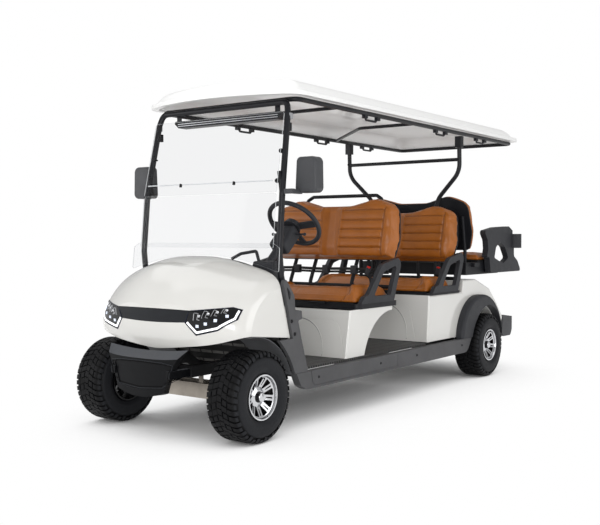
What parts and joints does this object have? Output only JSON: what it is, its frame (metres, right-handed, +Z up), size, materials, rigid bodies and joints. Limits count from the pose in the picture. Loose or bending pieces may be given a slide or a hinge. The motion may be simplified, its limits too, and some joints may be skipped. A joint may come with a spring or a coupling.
{
  "type": "golf cart",
  "caption": "Electric golf cart with two forward benches, a flip-down rear bench, roof on a tube frame, folding-style windshield and alloy wheels.",
  "frame": {"origin": "on the ground under the middle of the cart's overall box", "axes": "+Z up, -Y towards the front of the cart, +X towards the driver's side"},
  "size_m": [1.3848, 3.8191, 1.9279],
  "materials": {
    "body_white": "high gloss paint",
    "roof_white": "satin gloss",
    "trim_grey": "fine grain",
    "frame_black": "satin powder coat",
    "leather_tan": "stitched upholstery",
    "seat_board": "plain",
    "clear_pane": "clear acrylic",
    "lamp_lens": "clear lens over black housing",
    "tyre_rubber": "all-terrain tread",
    "rim_alloy": "machined face, black pockets",
    "bare_steel": "galvanised",
    "chassis_steel": "satin black",
    "floor_mat": "ribbed",
    "liner_grey": "thin moulded sheet",
    "battery_case": "plain"
  },
  "bodies": {
    "cart": {"battery_pack": "battery_case", "chassis_frame": "chassis_steel", "dashboard": "trim_grey", "fender_flares": "trim_grey", "floor_pan": "floor_mat", "front_armrests": "trim_grey", "front_backrest": "leather_tan", "front_bumper": "trim_grey", "front_control_arms": "chassis_steel", "front_cowl": "body_white", "front_crossmember": "bare_steel", "front_seat_base": "body_white", "front_seat_frame": "frame_black", "front_struts": "trim_grey", "grille_band": "trim_grey", "headlamps": "lamp_lens", "leaf_springs": "chassis_steel", "middle_armrests": "trim_grey", "middle_backrest": "leather_tan", "middle_seat_frame": "frame_black", "mirrors": "trim_grey", "overhead_bar": "frame_black", "pedals": "chassis_steel", "rear_armrests": "trim_grey", "rear_axle": "chassis_steel", "rear_backrest": "leather_tan", "rear_body": "body_white", "rear_posts": "frame_black", "rear_seat_frame": "frame_black", "rear_step": "trim_grey", "roof": "roof_white", "roof_cross_bars": "frame_black", "roof_frame": "frame_black", "side_sills": "trim_grey", "steering_column": "trim_grey", "wheel_liners": "liner_grey", "windshield_apron": "clear_pane", "windshield_frame": "frame_black", "windshield_lower": "clear_pane", "windshield_upper": "clear_pane"},
    "knuckle_l": {"knuckle_left": "chassis_steel"},
    "knuckle_r": {"knuckle_right": "chassis_steel"},
    "wheel_front_l": {"rim_front_left": "rim_alloy", "tyre_front_left": "tyre_rubber"},
    "wheel_front_r": {"rim_front_right": "rim_alloy", "tyre_front_right": "tyre_rubber"},
    "wheel_rear_l": {"rim_rear_left": "rim_alloy", "tyre_rear_left": "tyre_rubber"},
    "wheel_rear_r": {"rim_rear_right": "rim_alloy", "tyre_rear_right": "tyre_rubber"},
    "track_rod": {"tie_rod": "chassis_steel"},
    "hand_wheel": {"steering_wheel": "trim_grey"},
    "front_seat": {"front_seat_board": "seat_board", "front_seat_cushion": "leather_tan"},
    "middle_seat": {"middle_seat_board": "seat_board", "middle_seat_cushion": "leather_tan"},
    "rear_seat": {"rear_seat_pan": "seat_board", "rear_seat_cushion": "leather_tan"}
  },
  "joints": [
    {"name": "front_left_steer", "type": "hinge", "parent": "cart", "child": "knuckle_l", "pos_m": [0.3805, -1.605, 0.239], "axis": [0, 0, 1], "range_deg": [-28, 28]},
    {"name": "front_right_steer", "type": "hinge", "parent": "cart", "child": "knuckle_r", "pos_m": [-0.3805, -1.605, 0.239], "axis": [0, 0, 1], "range_deg": [-28, 28]},
    {"name": "tie_rod_slide", "type": "slide", "parent": "cart", "child": "track_rod", "axis": [1, 0, 0], "range_m": [-0.056, 0.056]},
    {"name": "steering_wheel_turn", "type": "hinge", "parent": "cart", "child": "hand_wheel", "pos_m": [0.261, -0.8955, 1.1425], "axis": [0, 0.7314, 0.682], "range_deg": [-400, 400]},
    {"name": "front_left_spin", "type": "hinge", "parent": "knuckle_l", "child": "wheel_front_l", "pos_m": [0.4925, -1.605, 0.239], "axis": [1, 0, 0], "continuous": true},
    {"name": "front_right_spin", "type": "hinge", "parent": "knuckle_r", "child": "wheel_front_r", "pos_m": [-0.4925, -1.605, 0.239], "axis": [1, 0, 0], "continuous": true},
    {"name": "rear_left_spin", "type": "hinge", "parent": "cart", "child": "wheel_rear_l", "pos_m": [0.4925, 1.185, 0.239], "axis": [1, 0, 0], "continuous": true},
    {"name": "rear_right_spin", "type": "hinge", "parent": "cart", "child": "wheel_rear_r", "pos_m": [-0.4925, 1.185, 0.239], "axis": [1, 0, 0], "continuous": true},
    {"name": "front_seat_tilt", "type": "hinge", "parent": "cart", "child": "front_seat", "pos_m": [0, -0.571, 0.652], "axis": [1, 0, 0], "range_deg": [0, 75]},
    {"name": "middle_seat_tilt", "type": "hinge", "parent": "cart", "child": "middle_seat", "pos_m": [0, 0.364, 0.673], "axis": [1, 0, 0], "range_deg": [0, 75]},
    {"name": "rear_seat_flip", "type": "hinge", "parent": "cart", "child": "rear_seat", "pos_m": [0, 1.591, 0.868], "axis": [-1, 0, 0], "range_deg": [0, 180]}
  ],
  "couplings": [
    {"joint": "front_right_steer", "follows": "front_left_steer", "ratio": 1},
    {"joint": "tie_rod_slide", "follows": "front_left_steer", "m_per_rad": -0.11},
    {"joint": "steering_wheel_turn", "follows": "front_left_steer", "ratio": 14}
  ]
}
